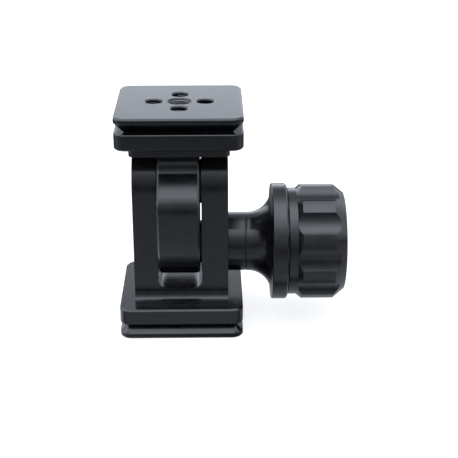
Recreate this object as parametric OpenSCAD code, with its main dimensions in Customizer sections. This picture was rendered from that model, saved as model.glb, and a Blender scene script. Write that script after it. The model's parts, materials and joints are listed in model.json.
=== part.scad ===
// Monopod tilt head: a fork on a four-way dovetail foot carries a tilting tongue,
// which holds a four-way dovetail platform. The tongue swings on an upper pivot bolt.
// A clamp bolt below it runs in an arc slot of the tongue and ends in a fluted knob.
// Millimetres. +X points at the knob, +Z up, origin at the centre of the foot's underside.

/* [Dovetail plates] */
// Width and depth of both square dovetail plates
plate_w = 38; // [36:0.5:42]
// Rounding of the plates' corners in plan
plate_corner_r = 3.4; // [3.2:0.1:5]
// Height of a plate from its edge to its slab
plate_h = 9.8; // [9:0.1:12]
// Height of the straight edge beyond the groove
plate_edge_h = 1.7; // [1.2:0.1:2.5]
// Depth and height of the 45 degree groove
groove_depth = 3.05; // [2.5:0.05:3.1]
// Chamfer on the plates' outer edges
plate_chamfer = 0.5; // [0.2:0.1:0.6]

/* [Heights] */
// Height of the whole head
head_h = 70.5; // [70.5:0.5:76]
// Height of the tilt pivot above the foot
pivot_z = 45.1; // [45:0.1:46]
// Height of the clamp bolt above the foot
clamp_z = 24.7; // [24:0.1:25.5]

/* [Fork] */
// Width of the fork over both cheeks
fork_w = 29; // [28:0.1:31]
// Width of the slot between the cheeks
slot_w = 13.6; // [13.5:0.1:14]
// Place of the slot's middle, which lies a little left of the plates' middle
slot_x = -0.4; // [-0.4:0.05:0]
// Height of the slot's floor
slot_floor_z = 13.4; // [13.3:0.1:13.8]
// Rounding between the slot's floor and the cheeks
slot_corner_r = 3.2; // [1.5:0.1:3.3]
// Half depth of the fork at its foot
fork_half_d = 11.2; // [11:0.1:12.2]
// Radius of the cheeks' round tops
cheek_top_r = 12.2; // [11.5:0.1:12.3]
// Radius of the fillet between the fork and its foot plate
foot_fillet_r = 2.8; // [2:0.1:3.5]

/* [Tongue] */
// Thickness of the tongue
tongue_t = 12.65; // [12.5:0.05:12.8]
// Gap between the tongue and the left cheek
tongue_gap_left = 0.35; // [0.2:0.05:0.4]
// Radius of the tongue's round lower end
tongue_r = 18.7; // [18.5:0.1:18.8]
// Height of the centre of that round end
tongue_z = 34.3; // [34.2:0.1:34.4]
// Half depth of the tongue at its shoulder, where it is deepest
shoulder_half_d = 19.8; // [19.6:0.1:20.2]
// Height of the deepest place
shoulder_z = 41; // [40:0.5:42]
// Rounding of the shoulder
shoulder_r = 7.3; // [6:0.1:8]
// Half depth of the neck between the shoulder and the platform
neck_half_d = 11.2; // [10.5:0.1:11.5]
// Width of the flange under the platform
flange_w = 30; // [29:0.1:31]
// Depth of the flange under the platform
flange_d = 30; // [29:0.5:31]
// Thickness of the flange
flange_t = 3; // [2.8:0.1:3]
// Tilt to either side, set by the ends of the arc slot
tilt_deg = 40; // [20:1:42]

/* [Platform holes] */
// Circle of the four accessory holes
hole_pcd = 15.5; // [15:0.1:16]
// Diameter of the accessory holes
hole_d = 5; // [4:0.1:5]
// Diameter of the camera thread
camera_thread_d = 6.35; // [6.35:0.01:6.35]
// Diameter of the monopod thread
monopod_thread_d = 9.525; // [9.525:0.001:9.525]

/* [Knob] */
// Diameter of the collar and of the knob's waist
waist_d = 18.5; // [17:0.5:20]
// Diameter of the knob's flange and grip
knob_d = 36.5; // [35:0.5:38]
// Radius of the hollow curve from the waist to the flange
trumpet_r = 7.3; // [6:0.1:7.6]
// Number of flutes around the grip
flutes = 10; // [8:1:12]
// Depth of a flute
flute_depth = 1.4; // [1:0.1:1.6]
// Radius of the cutter that leaves a flute
flute_cutter_r = 6.6; // [5:0.1:8]
// Angle of the first flute, from the front towards the top
flute_start_deg = 3; // [0:1:36]
// Diameter of the clamp bolt
clamp_bolt_d = 6; // [6:0.1:6]

/* [Hidden] */
$fn = 96;
eps = 0.5;

// Clearance around a screw or a pressed piece, and in a running fit
fit_gap = 0.03;
run_gap = 0.05;

// Plate section, measured outwards from the corner's centre line
plate_core = plate_w / 2 - plate_corner_r;
slab_break = 0.3;
groove_top = plate_edge_h + groove_depth;
plate_section = [
    [0, 0],
    [plate_corner_r - plate_chamfer, 0],
    [plate_corner_r, plate_chamfer],
    [plate_corner_r, plate_edge_h],
    [plate_corner_r - groove_depth, groove_top],
    [plate_corner_r - slab_break, groove_top],
    [plate_corner_r, groove_top + slab_break],
    [plate_corner_r, plate_h - plate_chamfer],
    [plate_corner_r - plate_chamfer, plate_h],
    [0, plate_h]
];

// Fork
slot_left = slot_x - slot_w / 2;
slot_right = slot_x + slot_w / 2;
cheek_out = fork_w / 2;
fork_rise = pivot_z - plate_h - foot_fillet_r;
// Lean of the fork's front: the line from the foot that just touches the round top
lean_deg = atan(fork_half_d / fork_rise) - asin(cheek_top_r / norm([fork_half_d, fork_rise]));
touch = [cheek_top_r * cos(lean_deg), pivot_z + cheek_top_r * sin(lean_deg)];
fillet_y = fork_half_d + foot_fillet_r / cos(lean_deg);
fillet_z = plate_h + foot_fillet_r;
fillet_touch = [fillet_y - foot_fillet_r * cos(lean_deg), fillet_z - foot_fillet_r * sin(lean_deg)];
sweep_gap = 0.4;

// Tongue
tongue_left = slot_left + tongue_gap_left;
tongue_right = tongue_left + tongue_t;
tongue_reach = pivot_z - tongue_z + tongue_r;
platform_z = head_h - plate_h;
flange_z = platform_z - flange_t;
flange_corner_r = 2;
neck_fillet_r = flange_d / 2 - neck_half_d;

// Large arc from the shoulder to the round end, which it meets without a corner
side_rise = shoulder_z - tongue_z;
side_r = (pow(shoulder_half_d, 2) - pow(tongue_r, 2) + pow(side_rise, 2))
         / (2 * (shoulder_half_d - tongue_r));
side_low_z = tongue_z - tongue_r * side_rise / (side_r - tongue_r);

// Slope that just touches the shoulder's rounding and the hollow under the platform
shoulder_y = shoulder_half_d - shoulder_r;
hollow_y = flange_d / 2;
hollow_z = flange_z - neck_fillet_r;
slope_run = [hollow_y - shoulder_y, hollow_z - shoulder_z];
slope_deg = atan2(slope_run[1], slope_run[0]) - acos((shoulder_r + neck_fillet_r) / norm(slope_run));
shoulder_touch = [shoulder_y + shoulder_r * cos(slope_deg), shoulder_z + shoulder_r * sin(slope_deg)];
hollow_touch = [hollow_y - neck_fillet_r * cos(slope_deg), hollow_z - neck_fillet_r * sin(slope_deg)];

// Arc slot of the clamp bolt
arc_r = pivot_z - clamp_z;
arc_slot_w = clamp_bolt_d + 0.4;
arc_end_deg = tilt_deg + 0.4;

// Pivot bolt, its bush and washers
pivot_d = 7.2;
pivot_bush_d = 9.2;
pivot_head_d = 12;
pivot_head_t = 3.6;
pivot_head_sunk = 0.2;
pivot_thread_d = 6;
pivot_thread_x = 10;
pivot_socket_af = 4;
pivot_washer_d = 14;
friction_washer_d = 13.4;
washer_play = 0.02;
pivot_washer_play = 0.05;
pivot_washer_play_right = 0.1;

// Clamp bolt and its cap
clamp_head_af = 10;
clamp_head_t = 3.2;
cap_d = 14;
cap_t = 0.9;
clamp_head_x = -cheek_out + cap_t + 0.1;

// Stations along the clamp axis, from the right cheek to the knob's end
collar_x = cheek_out;
collar_end_x = 19.8;
recess_x = 15.6;
recess_d = 14.2;
hub_x = 20.1;
trumpet_x = hub_x + 0.7;
flange_x = trumpet_x + trumpet_r;
flange_end_x = 32.95;
joint_end_x = 33.3;
ring_end_x = 35.85;
spigot_end_x = 40;
web_end_x = 43.6;
knob_end_x = 50.8;
cap_x = 48.9;

// Thrust stack between the collar and the knob
thrust_in_d = clamp_bolt_d + 0.4;
thrust_out_d = 13.6;
spring_t = 0.8;
spring_rise = 0.25;
spring_pitch = spring_t + spring_rise;
race_t = 0.7;
race_in_x = recess_x + 2 * spring_pitch + 0.05;
needle_d = 1.6;
needle_gap = 0.05;
needle_count = 10;
needle_len = 2.4;
needle_mid_r = 5.15;
needle_x = race_in_x + race_t + needle_gap + needle_d / 2;
cage_t = 1;
race_out_x = needle_x + needle_d / 2 + needle_gap;
hub_recess_x = race_out_x + race_t + 0.05;

// Knob
knob_r = knob_d / 2;
ring_r = knob_r - 1.45;
joint_r = knob_r - 2.1;
rim_r = knob_r - 2.9;
rim_x = knob_end_x - 3.6;
spigot_d = 26;
nut_af = 11;
nut_x = 24;
nut_end_x = 35;
stop_pocket_d = 14.8;
stop_x = 37.5;
stop_t = 1;
stop_d = 11;
screw_circle_r = 9.4;
flute_centre_r = knob_r - flute_depth + flute_cutter_r;

// Platform pieces
insert_d = 8.8;
insert_top_z = head_h - 0.6;
insert_flange_d = 10.4;
platform_screw_xy = 10.7;
pin_y = 12.6;

// Round bar or bore along X, at the depth y and the height z
module bar_x(d, x0, x1, y = 0, z = clamp_z, sides = $fn) {
    translate([x0, y, z])
        rotate([0, 90, 0])
            cylinder(d = d, h = x1 - x0, $fn = sides);
}

// Six-sided bar along X, sized across its flats
module hex_x(af, x0, x1, z = clamp_z) {
    bar_x(af / cos(30), x0, x1, 0, z, 6);
}

// Ring along X
module ring_x(d_out, d_in, x0, x1, z = clamp_z) {
    difference() {
        bar_x(d_out, x0, x1, 0, z);
        bar_x(d_in, x0 - eps, x1 + eps, 0, z);
    }
}

// Turned solid about an axis along X: points are [radius, x]
module turned_x(points, z = clamp_z) {
    translate([0, 0, z])
        rotate([0, 90, 0])
            rotate_extrude()
                polygon(points);
}

// Flat outline in Y and Z, given its thickness along X
module slab_x(x0, x1) {
    translate([x0, 0, 0])
        rotate([90, 0, 90])
            linear_extrude(height = x1 - x0)
                children();
}

// Copies for the four sides or corners of a square plate
module four_ways() {
    for (turn = [0:90:270])
        rotate([0, 0, turn]) children();
}

// Square plate with rounded corners, a 45 degree groove on all four sides and a slab above it
module dovetail_block() {
    translate([-plate_core, -plate_core, 0])
        cube([2 * plate_core, 2 * plate_core, plate_h]);
    four_ways() {
        translate([plate_core, plate_core, 0])
            rotate_extrude(angle = 90)
                polygon(plate_section);
        translate([plate_core, plate_core, 0])
            rotate([90, 0, 0])
                linear_extrude(height = 2 * plate_core)
                    polygon(plate_section);
    }
}

// Half of the fork's side outline, from its foot to where it touches the round top
module fork_outline() {
    for (side = [0, 1])
        mirror([side, 0])
            polygon([
                [0, plate_h - 1],
                [fillet_y, plate_h - 1],
                [fillet_y, fillet_z],
                fillet_touch,
                touch,
                [0, touch[1]]
            ]);
}

// Both cheeks and the web under them, before the slot is cut
module fork_upright() {
    difference() {
        slab_x(-cheek_out, cheek_out) fork_outline();
        for (side = [-1, 1])
            bar_x(2 * foot_fillet_r, -cheek_out - eps, cheek_out + eps, side * fillet_y, fillet_z);
    }
    bar_x(2 * cheek_top_r, -cheek_out, cheek_out, 0, pivot_z);
}

// Slot for the tongue: round corners at its floor, and a round relief for the tongue's sweep
module fork_slot() {
    span = 2 * plate_w;
    inner = slot_w / 2 - slot_corner_r;
    translate([slot_left, -plate_w, slot_floor_z + slot_corner_r])
        cube([slot_w, span, head_h]);
    translate([slot_x - inner, -plate_w, slot_floor_z])
        cube([2 * inner, span, head_h]);
    for (side = [-1, 1])
        translate([slot_x + side * inner, plate_w, slot_floor_z + slot_corner_r])
            rotate([90, 0, 0])
                cylinder(r = slot_corner_r, h = span);
    bar_x(2 * (tongue_reach + sweep_gap), slot_left, slot_right, 0, pivot_z);
}

// Holes of the two bolts through the cheeks
module fork_bores() {
    bar_x(pivot_head_d + 0.3, -cheek_out - eps, -cheek_out + pivot_head_sunk + pivot_head_t, 0, pivot_z);
    bar_x(pivot_d + 2 * fit_gap, -cheek_out, pivot_thread_x + 0.2, 0, pivot_z);
    bar_x(pivot_thread_d + 2 * fit_gap, 0, cheek_out + eps, 0, pivot_z);
    bar_x(cap_d, -cheek_out - eps, -cheek_out + cap_t + 0.05);
    hex_x(clamp_head_af + 0.15, -cheek_out, clamp_head_x + clamp_head_t + 0.03);
    bar_x(clamp_bolt_d + 0.2, -cheek_out, cheek_out + eps);
}

// Places of the two keys on the rim of the monopod bush
bush_d = 15;
bush_h = 11;
key_d = 3;
key_h = 5;
module at_bush_keys() {
    for (turn = [45, 225])
        rotate([0, 0, turn])
            translate([bush_d / 2, 0, 0]) children();
}

// Place and size of the grub screw that locks the pivot bolt, in the right cheek from behind
grub_d = 3;
grub_len = 7;
grub_x = 12;
grub_rise_deg = 30;
module at_pivot_grub() {
    translate([grub_x, 0, pivot_z])
        rotate([grub_rise_deg - 90, 0, 0])
            translate([0, 0, pivot_thread_d / 2 + 0.05]) children();
}

// Fork with its foot plate, milled from one block
module fork() {
    color("#1d1f22")
    difference() {
        union() {
            dovetail_block();
            fork_upright();
        }
        fork_slot();
        fork_bores();
        translate([0, 0, -eps]) cylinder(d = bush_d + 2 * fit_gap, h = bush_h + eps);
        cylinder(d = monopod_thread_d + 0.4, h = bush_h + 0.8);
        translate([0, 0, -eps])
            at_bush_keys() cylinder(d = key_d + 2 * fit_gap, h = key_h + 0.3 + eps);
        at_pivot_grub() cylinder(d = grub_d + 2 * fit_gap, h = 2 * cheek_top_r);
    }
}

// Steel bush with the monopod thread
module monopod_bush() {
    color("#b9bcc0")
    difference() {
        cylinder(d = bush_d, h = bush_h);
        translate([0, 0, -eps]) cylinder(d = monopod_thread_d, h = bush_h + 2 * eps);
        translate([0, 0, -eps])
            at_bush_keys() cylinder(d = key_d + 2 * fit_gap, h = key_h + 0.3 + eps);
    }
}

// Grub screw: a short bar with a six-sided socket at its outer end
module grub(d, len, socket_af) {
    difference() {
        cylinder(d = d, h = len);
        translate([0, 0, len - d / 2]) cylinder(d = socket_af / cos(30), h = d, $fn = 6);
    }
}

// Two grub screws along the rim of the monopod bush, which keep it from turning
module bush_lock_screws() {
    color("#3a3c40")
    at_bush_keys()
        translate([0, 0, key_h + 0.2])
            rotate([180, 0, 0]) grub(key_d, key_h, 1.5);
}

// Shoulder bolt on which the tongue swings
module pivot_bolt() {
    head_x = -cheek_out + pivot_head_sunk;
    color("#8e9196")
    difference() {
        union() {
            bar_x(pivot_head_d, head_x, head_x + pivot_head_t, 0, pivot_z);
            bar_x(pivot_d, head_x, pivot_thread_x, 0, pivot_z);
            bar_x(pivot_thread_d, 0, cheek_out - 0.3, 0, pivot_z);
        }
        hex_x(pivot_socket_af, head_x - eps, head_x + 2.4, pivot_z);
    }
}

module pivot_lock_screw() {
    color("#3a3c40")
    at_pivot_grub() grub(grub_d, grub_len, 1.5);
}

// Washers that fill the gaps beside the tongue
module pivot_washer_left() {
    color("#222326")
    ring_x(pivot_washer_d, pivot_d + 2 * run_gap,
           slot_left + pivot_washer_play, tongue_left - washer_play, pivot_z);
}

module pivot_washer_right() {
    color("#222326")
    ring_x(pivot_washer_d, pivot_d + 2 * run_gap,
           tongue_right + washer_play, slot_right - pivot_washer_play_right, pivot_z);
}

module friction_washer_left() {
    color("#222326")
    ring_x(friction_washer_d, clamp_bolt_d + 0.2, slot_left, tongue_left - washer_play);
}

module friction_washer_right() {
    color("#222326")
    ring_x(friction_washer_d, clamp_bolt_d + 0.2, tongue_right + washer_play, slot_right);
}

// Clamp bolt: six-sided head in the left cheek, tapped end inside the knob
module clamp_bolt() {
    color("#8e9196")
    difference() {
        union() {
            hex_x(clamp_head_af, clamp_head_x, clamp_head_x + clamp_head_t);
            bar_x(clamp_bolt_d, clamp_head_x, stop_x);
        }
        bar_x(3.1, stop_x - 6.5, stop_x + eps);
    }
}

// Cap over the clamp bolt's head
module clamp_bolt_cap() {
    color("#222326")
    turned_x([
        [0, -cheek_out],
        [cap_d / 2 - 0.3, -cheek_out],
        [cap_d / 2 - fit_gap, -cheek_out + 0.3],
        [cap_d / 2 - fit_gap, -cheek_out + cap_t],
        [0, -cheek_out + cap_t]
    ]);
}

// Collar between the right cheek and the knob, hollow for the thrust stack
module knob_collar() {
    r = waist_d / 2;
    bevel = 0.1;
    color("#1d1f22")
    turned_x([
        [clamp_bolt_d / 2 + 0.15, collar_x],
        [r - bevel, collar_x],
        [r, collar_x + bevel],
        [r, collar_end_x - bevel],
        [r - bevel, collar_end_x],
        [recess_d / 2, collar_end_x],
        [recess_d / 2, recess_x],
        [clamp_bolt_d / 2 + 0.15, recess_x]
    ]);
}

// Two disc springs set against each other
module disc_springs() {
    inner = thrust_in_d / 2;
    outer = thrust_out_d / 2;
    first = [
        [inner, recess_x + spring_rise],
        [outer, recess_x],
        [outer, recess_x + spring_t],
        [inner, recess_x + spring_pitch]
    ];
    mirror_x = 2 * recess_x + 2 * spring_pitch + 0.02;
    color("#9a9da1") {
        turned_x(first);
        turned_x([for (p = first) [p[0], mirror_x - p[1]]]);
    }
}

// Thin plastic washer in the joint between collar and knob
module knob_dust_washer() {
    color("#101113")
    ring_x(waist_d - 0.3, recess_d + 0.6, collar_end_x, hub_x - 0.05);
}

// Washer and screw on the clamp bolt's end, which keep the knob from coming off
module stop_washer() {
    color("#9a9da1")
    ring_x(stop_d, 3.2, stop_x, stop_x + stop_t);
}

module stop_screw() {
    head_x = stop_x + stop_t;
    color("#3a3c40")
    difference() {
        union() {
            bar_x(3, stop_x - 6, head_x + 0.1);
            bar_x(5.5, head_x, head_x + 1.7);
        }
        hex_x(2, head_x + 0.6, head_x + 1.7 + eps);
    }
}

// Rounded block of the flange, drawn from its centre
module flange_block() {
    x = flange_w / 2 - flange_corner_r;
    y = flange_d / 2 - flange_corner_r;
    translate([-x, -flange_d / 2, flange_z]) cube([2 * x, flange_d, flange_t]);
    translate([-flange_w / 2, -y, flange_z]) cube([flange_w, 2 * y, flange_t]);
    for (sx = [-1, 1], sy = [-1, 1])
        translate([sx * x, sy * y, flange_z]) cylinder(r = flange_corner_r, h = flange_t);
}

// Lower part of the tongue: its round end, its two large arcs and its two rounded shoulders
module tongue_lower() {
    bar_x(2 * tongue_r, tongue_left, tongue_right, 0, tongue_z);
    intersection() {
        slab_x(tongue_left, tongue_right)
            translate([-flange_d, side_low_z])
                square([2 * flange_d, shoulder_z - side_low_z]);
        bar_x(2 * side_r, tongue_left, tongue_right, side_r - shoulder_half_d, shoulder_z);
        bar_x(2 * side_r, tongue_left, tongue_right, shoulder_half_d - side_r, shoulder_z);
    }
    for (side = [-1, 1])
        bar_x(2 * shoulder_r, tongue_left, tongue_right, side * shoulder_y, shoulder_z);
}

// Neck from the shoulders to the flange, with a hollow in front and behind
module tongue_neck() {
    difference() {
        slab_x(tongue_left, tongue_right)
            for (side = [0, 1])
                mirror([side, 0])
                    polygon([
                        [0, shoulder_z],
                        [shoulder_y, shoulder_z],
                        shoulder_touch,
                        hollow_touch,
                        [hollow_y, hollow_z],
                        [hollow_y, platform_z - 0.5],
                        [0, platform_z - 0.5]
                    ]);
        for (side = [-1, 1])
            bar_x(2 * neck_fillet_r, tongue_left - eps, tongue_right + eps, side * hollow_y, hollow_z);
    }
}

// Arc slot about the pivot, in which the clamp bolt runs
module arc_slot() {
    depth = tongue_t + 2 * eps;
    translate([tongue_left - eps, 0, pivot_z])
        rotate([0, 90, 0]) {
            rotate([0, 0, -arc_end_deg])
                rotate_extrude(angle = 2 * arc_end_deg)
                    translate([arc_r - arc_slot_w / 2, 0])
                        square([arc_slot_w, depth]);
            for (turn = [-arc_end_deg, arc_end_deg])
                rotate([0, 0, turn])
                    translate([arc_r, 0, 0]) cylinder(d = arc_slot_w, h = depth);
        }
}

module at_platform_screws() {
    for (sx = [-1, 1], sy = [-1, 1])
        translate([sx * platform_screw_xy, sy * platform_screw_xy, 0]) children();
}

module at_locating_pins() {
    for (side = [-1, 1])
        translate([0, side * pin_y, 0]) children();
}

pin_z = flange_z + 0.4;
pin_h = 6;
pin_d = 3;
screw_head_z = flange_z + 0.1;
screw_head_h = 1.6;

// Tongue with its flange, milled from one block
module tilt_tongue() {
    color("#1b1d20")
    difference() {
        union() {
            tongue_lower();
            tongue_neck();
            flange_block();
        }
        arc_slot();
        bar_x(pivot_bush_d + 2 * fit_gap, tongue_left - eps, tongue_right + eps, 0, pivot_z);
        translate([0, 0, platform_z - 6]) cylinder(d = camera_thread_d + 0.6, h = 6 + eps);
        at_platform_screws() {
            translate([0, 0, flange_z - eps]) cylinder(d = 3.3, h = flange_t + 2 * eps);
            translate([0, 0, flange_z - 0.01])
                cylinder(d1 = 6.5, d2 = 3.3, h = screw_head_h + 0.11);
        }
        at_locating_pins()
            translate([0, 0, pin_z - 0.1]) cylinder(d = pin_d + 2 * fit_gap, h = pin_h);
    }
}

// Plain bearing bush in the tongue
module pivot_bush() {
    color("#a8824a")
    ring_x(pivot_bush_d, pivot_d + 2 * run_gap, tongue_left, tongue_right, pivot_z);
}

// Dovetail platform, which is the same plate as the foot turned over
module top_plate() {
    color("#232529")
    difference() {
        translate([0, 0, head_h]) mirror([0, 0, 1]) dovetail_block();
        four_ways()
            translate([hole_pcd / 2, 0, 0]) {
                translate([0, 0, head_h - 8]) cylinder(d = hole_d, h = 8 + eps);
                translate([0, 0, head_h - 0.35])
                    cylinder(d1 = hole_d, d2 = hole_d + 1, h = 0.5);
            }
        translate([0, 0, platform_z - eps])
            cylinder(d = insert_d + 2 * fit_gap, h = insert_top_z - platform_z + eps);
        translate([0, 0, platform_z - eps])
            cylinder(d = insert_flange_d + 2 * fit_gap, h = 1 + eps);
        cylinder(d = camera_thread_d + 0.5, h = head_h + eps);
        translate([0, 0, head_h - 0.35])
            cylinder(d1 = camera_thread_d + 0.5, d2 = camera_thread_d + 1.5, h = 0.5);
        at_platform_screws()
            translate([0, 0, platform_z - eps]) cylinder(d = 3 + 2 * fit_gap, h = 6 + eps);
        at_locating_pins()
            translate([0, 0, platform_z - eps])
                cylinder(d = pin_d + 2 * fit_gap, h = pin_z + pin_h + 0.1 - platform_z + eps);
    }
}

// Four countersunk screws that hold the platform, entered from below the flange
module platform_screws() {
    color("#3a3c40")
    at_platform_screws()
        difference() {
            union() {
                translate([0, 0, screw_head_z]) cylinder(d1 = 6, d2 = 3, h = screw_head_h);
                translate([0, 0, screw_head_z]) cylinder(d = 3, h = platform_z + 5.5 - screw_head_z);
            }
            translate([0, 0, screw_head_z - eps]) cylinder(d = 2 / cos(30), h = 1.2 + eps, $fn = 6);
        }
}

// Steel insert with the camera thread, held up by its own flange
module platform_insert() {
    color("#b9bcc0")
    difference() {
        union() {
            translate([0, 0, platform_z]) cylinder(d = insert_d, h = insert_top_z - platform_z);
            translate([0, 0, platform_z]) cylinder(d = insert_flange_d, h = 0.95);
        }
        translate([0, 0, platform_z - eps]) cylinder(d = camera_thread_d, h = plate_h + 2 * eps);
    }
}

// Two dowels that keep the platform square to the tongue
module locating_pins() {
    color("#9a9da1")
    at_locating_pins()
        translate([0, 0, pin_z]) cylinder(d = pin_d, h = pin_h - 0.1);
}

// Thrust bearing: two hardened rings with needles between them
module thrust_race_inner() {
    color("#b9bcc0")
    ring_x(thrust_out_d, thrust_in_d, race_in_x, race_in_x + race_t);
}

module thrust_race_outer() {
    color("#b9bcc0")
    ring_x(thrust_out_d, thrust_in_d, race_out_x, race_out_x + race_t);
}

// Copies around the clamp axis, each with its own X pointing outwards
module needle_spokes() {
    for (i = [0:needle_count - 1])
        translate([needle_x, 0, clamp_z])
            rotate([i * 360 / needle_count, 0, 0])
                translate([0, needle_mid_r, 0])
                    rotate([90, 0, 0]) children();
}

module thrust_needles() {
    color("#d0d2d4")
    needle_spokes() cylinder(d = needle_d, h = needle_len, center = true, $fn = 24);
}

module needle_cage() {
    color("#a8824a")
    difference() {
        ring_x(thrust_out_d - 0.2, thrust_in_d + 0.3, needle_x - cage_t / 2, needle_x + cage_t / 2);
        needle_spokes()
            cube([2 * cage_t, needle_d + 0.1, needle_len + 0.1], center = true);
    }
}

// Outline of the hub: waist, flange, joint step and spigot
module hub_body() {
    bevel = 0.25;
    flange_bevel = 0.55;
    joint_bevel = 0.1;
    turned_x([
        [0, hub_x],
        [waist_d / 2 - joint_bevel, hub_x],
        [waist_d / 2, hub_x + joint_bevel],
        [waist_d / 2, trumpet_x],
        [waist_d / 2 + trumpet_r, trumpet_x],
        [waist_d / 2 + trumpet_r, flange_x],
        [knob_r - bevel, flange_x],
        [knob_r, flange_x + bevel],
        [knob_r, flange_end_x - flange_bevel],
        [knob_r - flange_bevel, flange_end_x],
        [joint_r, flange_end_x],
        [joint_r, joint_end_x],
        [spigot_d / 2, joint_end_x],
        [spigot_d / 2, spigot_end_x],
        [0, spigot_end_x]
    ]);
}

module at_knob_screws() {
    for (turn = [30, 150, 270])
        translate([0, 0, clamp_z])
            rotate([turn, 0, 0])
                translate([0, screw_circle_r, 0]) children();
}

// Hub of the knob, hollowed into a trumpet curve behind its flange
module knob_hub() {
    color("#1b1d20")
    difference() {
        hub_body();
        translate([trumpet_x, 0, clamp_z])
            rotate([0, 90, 0])
                rotate_extrude()
                    translate([waist_d / 2 + trumpet_r, 0]) circle(r = trumpet_r);
        bar_x(thrust_out_d + 0.2, hub_x - eps, hub_recess_x);
        bar_x(clamp_bolt_d + 0.6, hub_x, spigot_end_x + eps);
        hex_x(nut_af + 2 * fit_gap, nut_x, spigot_end_x);
        bar_x(stop_pocket_d, nut_end_x + 0.1, spigot_end_x + eps);
        at_knob_screws() bar_x(3 + 2 * fit_gap, spigot_end_x - 6, spigot_end_x + eps, 0, 0);
    }
}

// Six-sided threaded nut, pressed into the hub
module knob_nut() {
    color("#a8824a")
    difference() {
        hex_x(nut_af, nut_x, nut_end_x);
        bar_x(clamp_bolt_d + 2 * run_gap, nut_x - eps, nut_end_x + eps);
    }
}

// Fluted grip, which sits on the hub's spigot
module knob_grip() {
    bevel = 0.15;
    color("#26272b")
    difference() {
        turned_x([
            [4, spigot_end_x + 0.05],
            [spigot_d / 2 + fit_gap, spigot_end_x + 0.05],
            [spigot_d / 2 + fit_gap, joint_end_x],
            [ring_r - bevel, joint_end_x],
            [ring_r, joint_end_x + bevel],
            [ring_r, ring_end_x],
            [knob_r, ring_end_x + knob_r - ring_r],
            [knob_r, rim_x],
            [rim_r, knob_end_x],
            [13.4, knob_end_x],
            [13.4, cap_x],
            [12.4, cap_x],
            [12.4, web_end_x],
            [4, web_end_x]
        ]);
        for (i = [0:flutes - 1])
            translate([0, 0, clamp_z])
                rotate([-flute_start_deg - i * 360 / flutes, 0, 0])
                    bar_x(2 * flute_cutter_r, ring_end_x - eps, knob_end_x + eps, -flute_centre_r, 0);
        at_knob_screws() bar_x(3.4, spigot_end_x, web_end_x + eps, 0, 0);
    }
}

// Three screws that hold the grip on the hub
module knob_screws() {
    color("#3a3c40")
    at_knob_screws()
        difference() {
            union() {
                bar_x(3, spigot_end_x - 5.5, web_end_x + 0.1, 0, 0);
                bar_x(5.5, web_end_x, web_end_x + 3, 0, 0);
            }
            hex_x(2.5, web_end_x + 1.5, web_end_x + 3 + eps, 0);
        }
}

// Cap in the knob's end, with a shallow dish
module knob_end_cap() {
    r = 13.4 - fit_gap;
    color("#232529")
    turned_x([
        [0, cap_x],
        [r, cap_x],
        [r, knob_end_x - 0.2],
        [r - 0.2, knob_end_x],
        [r - 2, knob_end_x],
        [r - 2.4, knob_end_x - 0.4],
        [0, knob_end_x - 0.4]
    ]);
}

fork();
monopod_bush();
bush_lock_screws();
pivot_bolt();
pivot_lock_screw();
pivot_washer_left();
pivot_washer_right();
clamp_bolt();
clamp_bolt_cap();
friction_washer_left();
friction_washer_right();
knob_collar();
disc_springs();
knob_dust_washer();
stop_washer();
stop_screw();
tilt_tongue();
pivot_bush();
top_plate();
platform_screws();
platform_insert();
locating_pins();
thrust_race_inner();
needle_cage();
thrust_needles();
thrust_race_outer();
knob_hub();
knob_nut();
knob_grip();
knob_screws();
knob_end_cap();
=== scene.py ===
"""Looks of a monopod tilt head: black anodised metal, rounded edges, real threads, soft studio light."""

import json
import math

import bmesh
import bpy
from mathutils import Matrix, Vector


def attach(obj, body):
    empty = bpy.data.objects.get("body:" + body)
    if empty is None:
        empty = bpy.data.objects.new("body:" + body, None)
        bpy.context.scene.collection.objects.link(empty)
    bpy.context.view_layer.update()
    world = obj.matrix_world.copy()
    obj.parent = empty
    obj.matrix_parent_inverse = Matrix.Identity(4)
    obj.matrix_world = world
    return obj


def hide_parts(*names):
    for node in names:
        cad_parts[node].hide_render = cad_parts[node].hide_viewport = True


MM = 0.001
INCH = 25.4
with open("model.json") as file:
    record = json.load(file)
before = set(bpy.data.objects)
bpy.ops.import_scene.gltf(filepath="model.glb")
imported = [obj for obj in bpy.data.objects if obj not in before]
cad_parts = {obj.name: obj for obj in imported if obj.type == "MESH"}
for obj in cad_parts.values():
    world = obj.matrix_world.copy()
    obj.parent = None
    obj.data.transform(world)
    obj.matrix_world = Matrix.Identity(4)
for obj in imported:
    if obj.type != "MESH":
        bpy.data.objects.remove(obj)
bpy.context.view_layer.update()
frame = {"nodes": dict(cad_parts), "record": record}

# Camera: place in millimetres, angles in degrees, focal length in pixels of the picture
CAMERA_AT_MM = (9.187, -333.349, 164.479)
CAMERA_DOWN_DEG = 22.145
CAMERA_HEADING_DEG = 0.987
CAMERA_ROLL_DEG = -0.019
CAMERA_FOCAL_PX = 1140.87
CAMERA_NEAR_M = 0.01
CAMERA_FAR_M = 50.0
PICTURE_PX = 458
SENSOR_MM = 36.0

# Sizes on the head, in millimetres
TILT_AXIS_Z = 45.1
CLAMP_AXIS_Z = 24.7
TONGUE_FACES = (-6.85, 5.8)
TONGUE_SLOT_REACH = 24.5
TONGUE_SLOT_HALF = 17.0
TONGUE_BORE_REACH = 6.0

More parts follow.
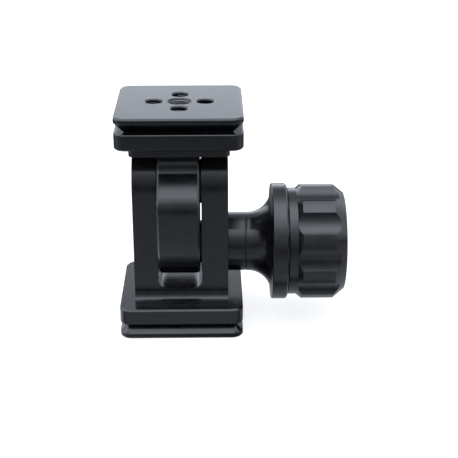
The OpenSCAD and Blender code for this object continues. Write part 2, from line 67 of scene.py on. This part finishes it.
# Width in millimetres of each piece's rounded edges, and of the chamfer round the tongue's two faces
EDGE_WIDTH = {
    "fork": 0.12,
    "tilt_tongue": 0.1,
    "top_plate": 0.12,
    "knob_collar": 0.06,
    "knob_hub": 0.12,
    "knob_grip": 0.15,
    "knob_end_cap": 0.15,
    "pivot_bolt": 0.15,
    "clamp_bolt_cap": 0.08,
    "monopod_bush": 0.2,
    "platform_insert": 0.1,
    "platform_screws": 0.05,
    "bush_lock_screws": 0.05,
}
TONGUE_CHAMFER = 0.55
ROUNDING_STEPS = 3
SHARP_DEG = 25

# How near in millimetres, and how flat, counts as the same
SAME_POINT = 0.002
SAME_TURNED_POINT = 0.0005
SAME_FACE = 0.01
SAME_PLANE_DEG = 0.2

# The grip, measured along the clamp axis
GRIP_SPIGOT_R = 13.03
GRIP_START_X = 33.3
GRIP_RING_R = 16.8
GRIP_RING_END_X = 35.85
GRIP_R = 18.25
GRIP_RIM_X = 47.2
GRIP_RIM_R = 15.35
GRIP_END_X = 50.8
GRIP_CAP_R = 13.4
GRIP_CAP_X = 48.9
GRIP_WELL_R = 12.4
GRIP_WEB_START_X = 40.05
GRIP_WEB_END_X = 43.6
GRIP_BORE_R = 4.0
FLUTES = 10
FLUTE_CUTTER_R = 6.6
FLUTE_DEPTH = 1.4
FIRST_FLUTE_DEG = 177.0
CUTTER_OVERHANG = 0.5
CUTTER_SIDES = 120
TURNED_SIDES = 200

# Screws: outlines as (radius, height above the socket's face), sockets as width across flats and depth
PLATFORM_SCREW = ((0, 0), (2.9, 0), (3.0, 0.1), (1.5, 1.6), (1.5, 8.2), (1.3, 8.4), (0, 8.4))
PLATFORM_SCREW_SOCKET = (2.0, 1.2)
PLATFORM_SCREWS = 4
PLATFORM_SCREW_CIRCLE_R = 10.7 * math.sqrt(2)
PLATFORM_SCREW_Z = 57.8
GRUB_SCREW = ((0, 0), (1.35, 0), (1.5, 0.15), (1.5, 4.85), (1.35, 5), (0, 5))
GRUB_SCREW_SOCKET = (1.5, 1.5)
GRUB_SCREWS = 2
GRUB_SCREW_CIRCLE_R = 7.5
GRUB_SCREW_Z = 0.2
FIRST_SCREW_DEG = 45.0
SOCKET_SIDES = 6

# Threads: the bore's radius, the pitch, and the heights between which the ridge is wound
CAMERA_THREAD = (INCH / 8, INCH / 20, 61.0, 69.6)
MONOPOD_THREAD = (INCH * 3 / 16, INCH / 16, 0.4, 10.8)
ACCESSORY_THREAD = (2.5, 0.8, 62.7, 69.9)
ACCESSORY_HOLES = 4
ACCESSORY_CIRCLE_R = 7.75

# Shape of a screw thread, as shares of its pitch
THREAD_HEIGHT = 0.72
THREAD_SUNK = 0.18
THREAD_ROOT = 0.94
THREAD_CREST = 0.16
THREAD_STEPS = 40


def make_camera():
    """The camera in the picture's place. Its view runs along forward, and the picture's top is up."""
    down, heading, roll = (math.radians(a) for a in (CAMERA_DOWN_DEG, CAMERA_HEADING_DEG, CAMERA_ROLL_DEG))
    ahead = math.cos(down)
    forward = Vector((math.sin(heading) * ahead, math.cos(heading) * ahead, -math.sin(down)))
    level = forward.cross(Vector((0, 0, 1))).normalized()
    above = level.cross(forward)
    right = level * math.cos(roll) + above * math.sin(roll)
    up = above * math.cos(roll) - level * math.sin(roll)
    data = bpy.data.cameras.new("camera")
    data.sensor_width = SENSOR_MM
    data.lens = CAMERA_FOCAL_PX / PICTURE_PX * SENSOR_MM
    data.clip_start = CAMERA_NEAR_M
    data.clip_end = CAMERA_FAR_M
    camera = bpy.data.objects.new("camera", data)
    turn = Matrix((right, up, -forward)).transposed().to_4x4()
    camera.matrix_world = Matrix.Translation(Vector(CAMERA_AT_MM) * MM) @ turn
    bpy.context.scene.collection.objects.link(camera)
    bpy.context.scene.camera = camera


make_camera()


# Building blocks for all node trees


def node(tree, kind, **settings):
    """A new node in a tree, with its settings."""
    made = tree.nodes.new(kind)
    for key, value in settings.items():
        setattr(made, key, value)
    return made


def feed(tree, made, **inputs):
    """Sets a node's inputs, linking sockets and writing in plain values, and gives its first output."""
    for name, value in inputs.items():
        target = made.inputs[name.replace("_", " ")]
        if isinstance(value, bpy.types.NodeSocket):
            tree.links.new(value, target)
        else:
            target.default_value = value
    return made.outputs[0]


def arithmetic(tree, operation, *terms):
    """The result of a sum on terms that are sockets or plain numbers."""
    made = node(tree, "ShaderNodeMath", operation=operation)
    for i, term in enumerate(terms):
        if isinstance(term, bpy.types.NodeSocket):
            tree.links.new(term, made.inputs[i])
        else:
            made.inputs[i].default_value = term
    return made.outputs[0]


def stretched(tree, value, low, high, to_low=0.0, to_high=1.0, smooth=False):
    """A value's span from low to high, mapped to the span from to_low to to_high."""
    spread = node(tree, "ShaderNodeMapRange", interpolation_type="SMOOTHSTEP" if smooth else "LINEAR")
    return feed(tree, spread, Value=value, From_Min=low, From_Max=high, To_Min=to_low, To_Max=to_high)


def blended(tree, share, first, second, how="MIX"):
    """Mixes two colours, each a socket or three numbers."""
    mix = node(tree, "ShaderNodeMix", data_type="RGBA", blend_type=how)
    first, second = (c if isinstance(c, bpy.types.NodeSocket) else (*c, 1) for c in (first, second))
    feed(tree, mix, Factor=share)
    feed(tree, mix, A=first, B=second)
    return mix.outputs["Result"]


# Finishes

# Sizes of a surface's noises in millimetres: wide clouds, a mottle, and a speckle as a share of the grain
CLOUD_MM = 3.0
MOTTLE_MM = 0.45
SPECKLE_TO_GRAIN = 1.6
CLOUD_DETAIL = 4.0
MOTTLE_DETAIL = 3.0
GRAIN_DETAIL = 2.0
SPECKLE_DETAIL = 1.0

# The span of each noise that runs from the darkest to the lightest, or from the glossiest to the dullest
COLOUR_SPAN = (0.75, 1.25)
CLOUD_SPAN = (0.3, 0.7)
SPECKLE_SPAN = (0.35, 0.65)
CLOUD_ROUGHNESS = 0.02
SPECKLE_ROUGHNESS = 0.025
COAT_IOR = 1.5

# Depth of the relief, and the pitch and unevenness of the rings that turning leaves
MOTTLE_DEPTH_MM = 0.04
GRAIN_DEPTH_MM = 0.01
LINE_DEPTH_MM = 0.01
COARSE_LINES_MM = 0.16
FINE_LINES_MM = 0.12
LINE_STRENGTH = 0.12
LINE_WANDER = 1.5
LINE_DETAIL = 2.0

# Width of one band of the wave pattern at a scale of 1
BAND_WIDTH = math.pi / 10


def new_material(name):
    """A material with nodes: itself, its tree and its shader."""
    material = bpy.data.materials.new(name)
    material.use_nodes = True
    return material, material.node_tree, material.node_tree.nodes["Principled BSDF"]


def object_place(tree):
    """The place on a piece, in the object's own coordinates."""
    return node(tree, "ShaderNodeTexCoord").outputs["Object"]


def object_noise(tree, feature_mm, detail):
    """Noise in object coordinates whose features are about feature_mm across."""
    noise = node(tree, "ShaderNodeTexNoise")
    feed(tree, noise, Vector=object_place(tree), Scale=1.0 / (feature_mm * MM), Detail=detail)
    return noise.outputs["Fac"]


def bump(tree, height, strength, depth_mm, normal=None):
    """Relief from a height, on top of the relief that normal holds."""
    made = node(tree, "ShaderNodeBump")
    feed(tree, made, Height=height, Strength=strength, Distance=depth_mm * MM)
    if normal is not None:
        feed(tree, made, Normal=normal)
    return made.outputs["Normal"]


def turning_lines(tree, pitch_mm, axis):
    """Fine rings left by turning, along the axis X or Z of the object's coordinates."""
    wave = node(tree, "ShaderNodeTexWave", wave_type="BANDS", bands_direction=axis, wave_profile="SIN")
    feed(tree, wave, Vector=object_place(tree), Scale=BAND_WIDTH / (pitch_mm * MM),
         Distortion=LINE_WANDER, Detail=LINE_DETAIL)
    return wave.outputs["Fac"]


def grained_finish(name, dark, light, roughness, grain_mm=0.12, grain=0.25, waviness=0.5, metallic=0.0,
                   lines=None):
    """Blasted, turned or moulded: colour and gloss vary softly, and a mottled grain breaks the light."""
    material, tree, shader = new_material(name)
    shader.inputs["IOR"].default_value = COAT_IOR
    shader.inputs["Metallic"].default_value = metallic
    cloud = object_noise(tree, CLOUD_MM, CLOUD_DETAIL)
    mottle = object_noise(tree, MOTTLE_MM, MOTTLE_DETAIL)
    speckle = object_noise(tree, grain_mm * SPECKLE_TO_GRAIN, SPECKLE_DETAIL)
    patches = stretched(tree, arithmetic(tree, "ADD", cloud, mottle), *COLOUR_SPAN)
    tree.links.new(blended(tree, patches, dark, light), shader.inputs["Base Color"])
    broad = stretched(tree, cloud, *CLOUD_SPAN, roughness - CLOUD_ROUGHNESS, roughness + CLOUD_ROUGHNESS)
    fine = stretched(tree, speckle, *SPECKLE_SPAN, -SPECKLE_ROUGHNESS, SPECKLE_ROUGHNESS)
    tree.links.new(arithmetic(tree, "ADD", broad, fine), shader.inputs["Roughness"])
    relief = bump(tree, mottle, waviness, MOTTLE_DEPTH_MM)
    relief = bump(tree, object_noise(tree, grain_mm, GRAIN_DETAIL), grain, GRAIN_DEPTH_MM, relief)
    if lines:
        relief = bump(tree, turning_lines(tree, *lines), LINE_STRENGTH, LINE_DEPTH_MM, relief)
    tree.links.new(relief, shader.inputs["Normal"])
    return material


BODY_BLACK = {"dark": (0.0015, 0.002, 0.0025), "light": (0.0085, 0.009, 0.01), "roughness": 0.2}
KNOB_BLACK = {"dark": (0.002, 0.002, 0.0025), "light": (0.01, 0.01, 0.011), "roughness": 0.21}
BARE_STEEL = {"dark": (0.34, 0.34, 0.35), "light": (0.42, 0.42, 0.43), "roughness": 0.3, "metallic": 1.0}
KNOB_GRAIN_MM = 0.16
FINISHES = {
    "anodised_body": grained_finish("anodised_body", **BODY_BLACK),
    "anodised_knob": grained_finish("anodised_knob", grain_mm=KNOB_GRAIN_MM, grain=0.35, waviness=0.9,
                                    **KNOB_BLACK),
    "stainless": grained_finish("stainless", lines=(FINE_LINES_MM, "Z"), **BARE_STEEL),
    "black_steel": grained_finish("black_steel", (0.015, 0.015, 0.017), (0.025, 0.025, 0.027), 0.3),
    "bronze": grained_finish("bronze", (0.36, 0.22, 0.09), (0.44, 0.28, 0.12), 0.34, metallic=1.0),
    "black_plastic": grained_finish("black_plastic", (0.005, 0.005, 0.0055), (0.008, 0.008, 0.009), 0.42),
}
TURNED_BODY_BLACK = grained_finish("anodised_turned", lines=(COARSE_LINES_MM, "X"), **BODY_BLACK)
TURNED_KNOB_BLACK = grained_finish("anodised_knob_turned", grain_mm=KNOB_GRAIN_MM, grain=0.3, waviness=0.7,
                                   lines=(COARSE_LINES_MM, "X"), **KNOB_BLACK)
SIDE_STEEL = grained_finish("stainless_side", lines=(FINE_LINES_MM, "X"), **BARE_STEEL)

SLOT_OF = {entry["node"]: entry["material_slot"] for entry in frame["record"]["subparts"]}
BODY_OF = {name: body for body, names in frame["record"]["behaviour"]["bodies"].items() for name in names}

for name, obj in frame["nodes"].items():
    obj.data.materials.clear()
    obj.data.materials.append(FINISHES[SLOT_OF[name]])


# Pieces made from the solids, with their edges rounded


def linked(name, mesh):
    """A mesh as an object in the scene."""
    piece = bpy.data.objects.new(name, mesh)
    bpy.context.scene.collection.objects.link(piece)
    return piece


def soften(piece, width_mm):
    """Rounds a piece's sharp edges and keeps its flat faces flat."""
    bevel = piece.modifiers.new("rounding", "BEVEL")
    bevel.width = width_mm * MM
    bevel.segments = ROUNDING_STEPS
    bevel.limit_method = "ANGLE"
    bevel.angle_limit = math.radians(SHARP_DEG)
    weighted = piece.modifiers.new("flat faces", "WEIGHTED_NORMAL")
    weighted.mode = "FACE_AREA"


def finished(piece, on, stands_for=True, finish=None):
    """Makes a piece a plain mesh, and says which solid it rides with and whether it stands for it."""
    graph = bpy.context.evaluated_depsgraph_get()
    mesh = bpy.data.meshes.new_from_object(piece.evaluated_get(graph))
    piece.modifiers.clear()
    piece.data = mesh
    mesh.materials.clear()
    mesh.materials.append(finish or FINISHES[SLOT_OF[on]])
    mesh.polygons.foreach_set("material_index", [0] * len(mesh.polygons))
    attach(piece, BODY_OF[on])
    if stands_for:
        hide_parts(on)
    return piece


def on_tongue_rim(edge):
    """Whether an edge runs along the outline of the tongue's left or right face."""
    for x in TONGUE_FACES:
        if all(abs(v.co.x / MM - x) < SAME_FACE for v in edge.verts):
            middle = (edge.verts[0].co + edge.verts[1].co) / 2 / MM
            from_pivot = math.hypot(middle.y, middle.z - TILT_AXIS_Z)
            under_pivot = abs(middle.y) < TONGUE_SLOT_HALF and middle.z < TILT_AXIS_Z
            in_slot = from_pivot < TONGUE_SLOT_REACH and under_pivot
            return not in_slot and from_pivot > TONGUE_BORE_REACH
    return False


def rounded(name, new_name, finish=None, chamfered=None, chamfer_mm=0.0):
    """A copy of a solid in its place, with chosen edges chamfered and all sharp edges rounded."""
    mesh = frame["nodes"][name].data.copy()
    form = bmesh.new()
    form.from_mesh(mesh)
    bmesh.ops.remove_doubles(form, verts=form.verts, dist=SAME_POINT * MM)
    bmesh.ops.dissolve_limit(form, angle_limit=math.radians(SAME_PLANE_DEG), verts=form.verts,
                             edges=form.edges, delimit={"NORMAL"})
    if chamfered:
        edges = [edge for edge in form.edges if chamfered(edge)]
        bmesh.ops.bevel(form, geom=edges, offset=chamfer_mm * MM, segments=1, affect="EDGES",
                        clamp_overlap=False)
    form.to_mesh(mesh)
    form.free()
    mesh.shade_smooth()
    piece = linked(new_name, mesh)
    soften(piece, EDGE_WIDTH[name])
    return finished(piece, name, finish=finish)


rounded("fork", "fork_milled")
rounded("tilt_tongue", "tongue_milled", chamfered=on_tongue_rim, chamfer_mm=TONGUE_CHAMFER)
rounded("top_plate", "platform_milled")
rounded("knob_collar", "collar_turned", TURNED_BODY_BLACK)
rounded("knob_hub", "hub_turned", TURNED_KNOB_BLACK)
rounded("knob_end_cap", "end_cap_turned", TURNED_KNOB_BLACK)
rounded("pivot_bolt", "pivot_bolt_turned", SIDE_STEEL)
rounded("clamp_bolt_cap", "bolt_cap_moulded")
rounded("monopod_bush", "bush_turned")
rounded("platform_insert", "insert_turned")


# Geometry nodes for what repeats: threads, flutes and screws

CIRCLE_INPUTS = [("Copies", "Int"), ("Circle radius", "Float"), ("Middle", "Vector"), ("Finish", "Material")]


def geometry_tree(name, inputs):
    """An empty tree with a geometry and named inputs: the tree, its input node and its output node."""
    tree = bpy.data.node_groups.new(name, "GeometryNodeTree")
    tree.interface.new_socket("Geometry", in_out="INPUT", socket_type="NodeSocketGeometry")
    for label, kind in inputs + CIRCLE_INPUTS:
        tree.interface.new_socket(label, in_out="INPUT", socket_type="NodeSocket" + kind)
    tree.interface.new_socket("Geometry", in_out="OUTPUT", socket_type="NodeSocketGeometry")
    return tree, tree.nodes.new("NodeGroupInput"), tree.nodes.new("NodeGroupOutput")


def quarter_turned(tree, shape, axis):
    """A shape turned by a right angle about Y or Z."""
    right_angle = math.radians(90)
    rotation = (0.0, right_angle, 0.0) if axis == "Y" else (0.0, 0.0, right_angle)
    return feed(tree, node(tree, "GeometryNodeTransform"), Geometry=shape, Rotation=rotation)


def cut_away(tree, blank, cutter):
    """What is left of a blank once the cutter's shape is taken out."""
    cut = node(tree, "GeometryNodeMeshBoolean", operation="DIFFERENCE", solver="EXACT")
    tree.links.new(blank, cut.inputs["Mesh 1"])
    tree.links.new(cutter, cut.inputs["Mesh 2"])
    return cut.outputs["Mesh"]


def copies_on_circle(tree, given, out, shape, first_deg, axis, cut_from=None):
    """Copies of a shape round a circle about X or Z, which may cut a blank, made real and coated."""
    copies, reach = given.outputs["Copies"], given.outputs["Circle radius"]
    step = arithmetic(tree, "DIVIDE", math.tau, copies)
    turn = arithmetic(tree, "MULTIPLY", node(tree, "GeometryNodeInputIndex").outputs[0], step)
    turn = arithmetic(tree, "ADD", turn, math.radians(first_deg))
    across = arithmetic(tree, "MULTIPLY", arithmetic(tree, "COSINE", turn), reach)
    up = arithmetic(tree, "MULTIPLY", arithmetic(tree, "SINE", turn), reach)
    spot = node(tree, "ShaderNodeCombineXYZ")
    spin = node(tree, "ShaderNodeCombineXYZ")
    if axis == "X":
        feed(tree, spot, Y=across, Z=up)
        feed(tree, spin, X=turn)
    else:
        feed(tree, spot, X=across, Y=up)
        feed(tree, spin, Z=turn)
    middle = node(tree, "ShaderNodeVectorMath", operation="ADD")
    tree.links.new(spot.outputs[0], middle.inputs[0])
    tree.links.new(given.outputs["Middle"], middle.inputs[1])
    points = feed(tree, node(tree, "GeometryNodePoints"), Count=copies, Position=middle.outputs[0])
    result = feed(tree, node(tree, "GeometryNodeInstanceOnPoints"), Points=points, Instance=shape,
                  Rotation=spin.outputs[0])
    if cut_from:
        result = cut_away(tree, cut_from, result)
    real = feed(tree, node(tree, "GeometryNodeRealizeInstances"), Geometry=result)
    coated = feed(tree, node(tree, "GeometryNodeSetMaterial"), Geometry=real,
                  Material=given.outputs["Finish"])
    tree.links.new(coated, out.inputs["Geometry"])
    return tree


def thread_tree():
    """Right-handed threads inside holes: one ridge wound along the hole, repeated round a circle."""
    inputs = [("Bore radius", "Float"), ("Pitch", "Float"), ("Turns", "Float")]
    tree, given, out = geometry_tree("inner threads", inputs)
    pitch, turns = given.outputs["Pitch"], given.outputs["Turns"]
    inset = arithmetic(tree, "MULTIPLY", pitch, THREAD_HEIGHT / 2 - THREAD_SUNK)
    radius = arithmetic(tree, "SUBTRACT", given.outputs["Bore radius"], inset)
    rise = arithmetic(tree, "MULTIPLY", pitch, turns)
    path = feed(tree, node(tree, "GeometryNodeCurveSpiral"), Resolution=THREAD_STEPS, Rotations=turns,
                Start_Radius=radius, End_Radius=radius, Height=rise, Reverse=True)
    upright = feed(tree, node(tree, "GeometryNodeSetCurveNormal", mode="Z_UP"), Curve=path)
    section = feed(tree, node(tree, "GeometryNodeCurvePrimitiveQuadrilateral", mode="TRAPEZOID"),
                   Height=arithmetic(tree, "MULTIPLY", pitch, THREAD_HEIGHT),
                   Bottom_Width=arithmetic(tree, "MULTIPLY", pitch, THREAD_ROOT),
                   Top_Width=arithmetic(tree, "MULTIPLY", pitch, THREAD_CREST), Offset=0.0)
    ridge = feed(tree, node(tree, "GeometryNodeCurveToMesh"), Curve=upright,
                 Profile_Curve=quarter_turned(tree, section, "Z"), Fill_Caps=True)
    return copies_on_circle(tree, given, out, ridge, 0.0, "Z")


def flute_tree():
    """Cuts round flutes along the edge of a turned grip, whose axis runs along X."""
    tree, given, out = geometry_tree("flutes", [("Cutter radius", "Float"), ("Cutter length", "Float")])
    bar = feed(tree, node(tree, "GeometryNodeMeshCylinder"), Vertices=CUTTER_SIDES,
               Radius=given.outputs["Cutter radius"], Depth=given.outputs["Cutter length"])
    lying = quarter_turned(tree, bar, "Y")
    return copies_on_circle(tree, given, out, lying, FIRST_FLUTE_DEG, "X", given.outputs["Geometry"])


def socket_screw_tree():
    """Cuts a six-sided socket into a turned screw on the Z axis, and repeats it round a circle."""
    tree, given, out = geometry_tree("socket screws", [("Socket width", "Float"), ("Socket depth", "Float")])
    flats = 2 * math.cos(math.pi / SOCKET_SIDES)
    prism = feed(tree, node(tree, "GeometryNodeMeshCylinder"), Vertices=SOCKET_SIDES,
                 Radius=arithmetic(tree, "DIVIDE", given.outputs["Socket width"], flats),
                 Depth=arithmetic(tree, "MULTIPLY", given.outputs["Socket depth"], 2.0))
    screw = cut_away(tree, given.outputs["Geometry"], prism)
    return copies_on_circle(tree, given, out, screw, FIRST_SCREW_DEG, "Z")


def grown(piece, tree, values):
    """Adds a tree to a piece and sets its inputs by their identifiers."""
    growth = piece.modifiers.new("growth", "NODES")
    growth.node_group = tree
    for item in tree.interface.items_tree:
        if item.in_out == "INPUT" and item.name in values:
            growth[item.identifier] = values[item.name]


def turned(name, outline, along_x_at=None):
    """A solid or ring turned about Z, or about a line along X through a point.

    The outline is a closed row of points (radius, height).
    """
    form = bmesh.new()
    rings = []
    for i in range(TURNED_SIDES):
        angle = math.tau * i / TURNED_SIDES
        cosine, sine = math.cos(angle), math.sin(angle)
        rings.append([form.verts.new((r * cosine * MM, r * sine * MM, z * MM)) for r, z in outline])
    for i, ring in enumerate(rings):
        following = rings[(i + 1) % TURNED_SIDES]
        for j in range(len(outline)):
            k = (j + 1) % len(outline)
            if outline[j][0] > 0 or outline[k][0] > 0:
                form.faces.new((ring[j], following[j], following[k], ring[k]))
    bmesh.ops.remove_doubles(form, verts=form.verts, dist=SAME_TURNED_POINT * MM)
    bmesh.ops.recalc_face_normals(form, faces=form.faces)
    if along_x_at is not None:
        laid_down = Matrix.Rotation(math.radians(90), 4, "Y")
        form.transform(Matrix.Translation(Vector(along_x_at) * MM) @ laid_down)
    mesh = bpy.data.meshes.new(name)
    form.to_mesh(mesh)
    form.free()
    mesh.shade_smooth()
    return linked(name, mesh)


THREADS = thread_tree()
FLUTE_CUTS = flute_tree()
SOCKET_SCREWS = socket_screw_tree()


def make_grip():
    """The grip: a turned blank with round flutes cut along its edge."""
    blank = turned("grip_fluted", [
        (GRIP_BORE_R, GRIP_WEB_START_X),
        (GRIP_SPIGOT_R, GRIP_WEB_START_X),
        (GRIP_SPIGOT_R, GRIP_START_X),
        (GRIP_RING_R, GRIP_START_X),
        (GRIP_RING_R, GRIP_RING_END_X),
        (GRIP_R, GRIP_RING_END_X + GRIP_R - GRIP_RING_R),
        (GRIP_R, GRIP_RIM_X),
        (GRIP_RIM_R, GRIP_END_X),
        (GRIP_CAP_R, GRIP_END_X),
        (GRIP_CAP_R, GRIP_CAP_X),
        (GRIP_WELL_R, GRIP_CAP_X),
        (GRIP_WELL_R, GRIP_WEB_END_X),
        (GRIP_BORE_R, GRIP_WEB_END_X),
    ], (0, 0, CLAMP_AXIS_Z))
    start, end = GRIP_RING_END_X - CUTTER_OVERHANG, GRIP_END_X + CUTTER_OVERHANG
    grown(blank, FLUTE_CUTS, {
        "Copies": FLUTES,
        "Circle radius": (GRIP_R - FLUTE_DEPTH + FLUTE_CUTTER_R) * MM,
        "Middle": ((start + end) / 2 * MM, 0.0, CLAMP_AXIS_Z * MM),
        "Cutter radius": FLUTE_CUTTER_R * MM,
        "Cutter length": (end - start) * MM,
        "Finish": FINISHES[SLOT_OF["knob_grip"]],
    })
    soften(blank, EDGE_WIDTH["knob_grip"])
    finished(blank, "knob_grip")


def make_screws(name, on, outline, socket, copies, circle_r, z):
    """Screws with six-sided sockets, repeated round the Z axis."""
    socket_width, socket_depth = socket
    screw = turned(name, outline)
    grown(screw, SOCKET_SCREWS, {
        "Copies": copies,
        "Circle radius": circle_r * MM,
        "Middle": (0.0, 0.0, z * MM),
        "Socket width": socket_width * MM,
        "Socket depth": socket_depth * MM,
        "Finish": FINISHES[SLOT_OF[on]],
    })
    soften(screw, EDGE_WIDTH[on])
    finished(screw, on)


def make_thread(name, on, thread, copies=1, circle_r=0.0):
    """The wound ridge of a thread inside each plain bore of a solid."""
    bore_r, pitch, low_z, high_z = thread
    half_ridge = THREAD_ROOT / 2 * pitch
    holder = linked(name, bpy.data.meshes.new(name))
    grown(holder, THREADS, {
        "Copies": copies,
        "Circle radius": circle_r * MM,
        "Middle": (0.0, 0.0, (low_z + half_ridge) * MM),
        "Bore radius": bore_r * MM,
        "Pitch": pitch * MM,
        "Turns": (high_z - low_z - 2 * half_ridge) / pitch,
        "Finish": FINISHES[SLOT_OF[on]],
    })
    finished(holder, on, stands_for=False)


make_grip()
make_screws("platform_screws_cut", "platform_screws", PLATFORM_SCREW, PLATFORM_SCREW_SOCKET,
            PLATFORM_SCREWS, PLATFORM_SCREW_CIRCLE_R, PLATFORM_SCREW_Z)
make_screws("grub_screws_cut", "bush_lock_screws", GRUB_SCREW, GRUB_SCREW_SOCKET,
            GRUB_SCREWS, GRUB_SCREW_CIRCLE_R, GRUB_SCREW_Z)
make_thread("camera_thread", "platform_insert", CAMERA_THREAD)
make_thread("monopod_thread", "monopod_bush", MONOPOD_THREAD)
make_thread("accessory_threads", "top_plate", ACCESSORY_THREAD, ACCESSORY_HOLES, ACCESSORY_CIRCLE_R)


# Studio light

# Brightness of the sky in pairs: degrees over the head from the horizon in front to the one behind, and level
LIGHT_TINT = (0.93, 1.0, 1.11)
SKY_LEFT = ((5, 0.1), (35, 0.7), (60, 1.9), (85, 3.4), (115, 3.0), (135, 1.4), (170, 1.4))
SKY_MIDDLE = ((5, 0.25), (35, 0.8), (50, 1.9), (75, 3.6), (95, 3.4), (120, 0.7), (150, 0.4), (170, 2.0))
SKY_RIGHT = ((45, 0.05), (60, 0.8), (80, 2.6), (100, 1.7), (130, 0.8), (150, 2.0), (170, 0.6))
SKY_SIDE_DEG = (15, 35)
SKY_TURN_DEG = 180

# Brightness of the floor as the metal mirrors it, in pairs: millimetres from the centre, and level. The dim
# levels just in front of the head and just to its right are painted shadow of the head on the floor, seen
# only in reflections; the rest is the studio's uneven light
FLOOR_FRONT = ((20, 0.05), (24, 0.15), (28, 0.7), (50, 0.55), (110, 0.5), (200, 0.3), (900, 0.05))
FLOOR_LEFT = ((20, 1.2), (120, 0.9))
FLOOR_RIGHT = ((20, 0.4), (120, 0.9))
FLOOR_BACK = ((20, 0.25), (300, 0.1))
FLOOR_REACH_MM = 900.0
FLOOR_EDGE_MM = 19.5
FLOOR_BLEND = (0.8, 1.2)
FLOOR_HALF_M = 3.0
FLOOR_WHITE = 0.35
FLOOR_GLOW = 0.8
WHITE = (1, 1, 1, 1)


def ramp(tree, factor, stops):
    """Grey levels along a factor, from pairs of a place between 0 and 1 and a level."""
    made = node(tree, "ShaderNodeValToRGB")
    points = made.color_ramp.elements
    points[0].position, points[1].position = stops[0][0], stops[-1][0]
    for place, _ in stops[1:-1]:
        points.new(place)
    for point, (_, level) in zip(points, stops):
        point.color = (level, level, level, 1)
    feed(tree, made, Fac=factor)
    return made.outputs["Color"]


def tinted(tree, colour):
    """A colour in the light's slightly cool tint."""
    return blended(tree, 1.0, colour, LIGHT_TINT, "MULTIPLY")


def seen_directly(tree, plain, seen):
    """One shader for all light, and another where the camera looks straight at the floor or the sky."""
    mix = node(tree, "ShaderNodeMixShader")
    feed(tree, mix, Fac=node(tree, "ShaderNodeLightPath").outputs["Is Camera Ray"])
    tree.links.new(plain, mix.inputs[1])
    tree.links.new(seen, mix.inputs[2])
    return mix.outputs["Shader"]


def split(tree, vector):
    """The X, Y and Z of a vector."""
    parts = node(tree, "ShaderNodeSeparateXYZ")
    feed(tree, parts, Vector=vector)
    return parts.outputs


def make_world():
    """Soft light from above, uneven from front to back and from side to side, before a white backdrop."""
    world = bpy.data.worlds.new("studio")
    world.use_nodes = True
    tree = world.node_tree
    x, y, z = split(tree, node(tree, "ShaderNodeTexCoord").outputs["Generated"])
    to_front = arithmetic(tree, "MULTIPLY", y, -1.0)
    angle = arithmetic(tree, "ARCTAN2", arithmetic(tree, "MAXIMUM", z, 0.0), to_front)
    share = arithmetic(tree, "DIVIDE", angle, math.pi)
    left, middle, right = (ramp(tree, share, [(deg / SKY_TURN_DEG, level) for deg, level in pairs])
                           for pairs in (SKY_LEFT, SKY_MIDDLE, SKY_RIGHT))
    side_from, side_to = (math.sin(math.radians(deg)) for deg in SKY_SIDE_DEG)
    leftward = stretched(tree, arithmetic(tree, "MULTIPLY", x, -1.0), side_from, side_to, smooth=True)
    rightward = stretched(tree, x, side_from, side_to, smooth=True)
    colour = blended(tree, rightward, blended(tree, leftward, middle, left), right)
    sky = feed(tree, tree.nodes["Background"], Color=tinted(tree, colour))
    backdrop = feed(tree, node(tree, "ShaderNodeBackground"), Color=WHITE)
    tree.links.new(seen_directly(tree, sky, backdrop), tree.nodes["World Output"].inputs["Surface"])
    bpy.context.scene.world = world


def make_floor():
    """A floor that the camera sees white, and that the metal mirrors with the studio's own levels, plus
    painted shadow of the head just in front of it and to its right.
    """
    half = FLOOR_HALF_M
    mesh = bpy.data.meshes.new("floor")
    mesh.from_pydata([(-half, -half, 0), (half, -half, 0), (half, half, 0), (-half, half, 0)], [],
                     [(0, 1, 2, 3)])
    floor = linked("floor", mesh)
    material, tree, shader = new_material("floor")
    pale = feed(tree, shader, Base_Color=(FLOOR_WHITE, FLOOR_WHITE, FLOOR_WHITE, 1), Roughness=1.0,
                Specular_IOR_Level=0.0, Emission_Color=WHITE, Emission_Strength=FLOOR_GLOW)
    x, y, _ = split(tree, object_place(tree))

    def outward(value, sign, pairs):
        """The levels along one direction from the centre."""
        share = arithmetic(tree, "MULTIPLY", value, sign / (FLOOR_REACH_MM * MM))
        return ramp(tree, share, [(place / FLOOR_REACH_MM, level) for place, level in pairs])

    edge = FLOOR_EDGE_MM * MM
    near, far = (share * edge for share in FLOOR_BLEND)
    sides = blended(tree, stretched(tree, x, -edge, edge), outward(x, -1, FLOOR_LEFT),
                    outward(x, 1, FLOOR_RIGHT))
    front = blended(tree, stretched(tree, y, -far, -near), outward(y, -1, FLOOR_FRONT), sides)
    all_round = blended(tree, stretched(tree, y, near, far), front, outward(y, 1, FLOOR_BACK))
    # Glow seen only in reflections: the studio's uneven light, with painted shadow of the head on the floor
    # just in front of it and to its right
    mirrored_with_painted_shadow = feed(tree, node(tree, "ShaderNodeEmission"), Color=tinted(tree, all_round))
    tree.links.new(seen_directly(tree, mirrored_with_painted_shadow, pale), tree.nodes["Material Output"].inputs["Surface"])
    mesh.materials.append(material)


make_floor()
make_world()
bpy.context.scene.view_settings.view_transform = "Standard"
